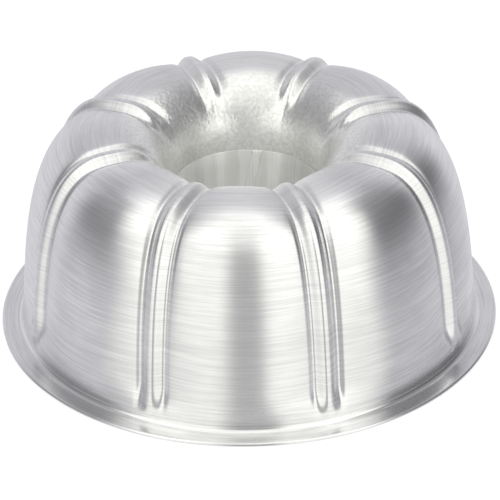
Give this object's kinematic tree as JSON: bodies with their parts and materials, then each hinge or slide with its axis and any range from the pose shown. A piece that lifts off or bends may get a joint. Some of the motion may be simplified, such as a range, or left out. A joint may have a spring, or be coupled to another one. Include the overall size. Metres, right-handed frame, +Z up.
{
  "type": "brioche mould",
  "caption": "Round fluted ring mould pressed from sheet aluminium, with a flat folded rim and a separate rolled centre tube, standing upside down on its rim.",
  "frame": {"origin": "middle of the plane that the rim rests on, on the mould's axis", "axes": "+Z up along the mould's axis towards the crown; the front of the mould looks along -Y"},
  "size_m": [0.25, 0.25, 0.106],
  "materials": {
    "shell_sheet": "fine brushed, with the lines running round the mould",
    "tube_sheet": "plain rolled sheet"
  },
  "bodies": {
    "root": {"fluted_shell": "shell_sheet", "centre_tube": "tube_sheet"}
  },
  "joints": []
}
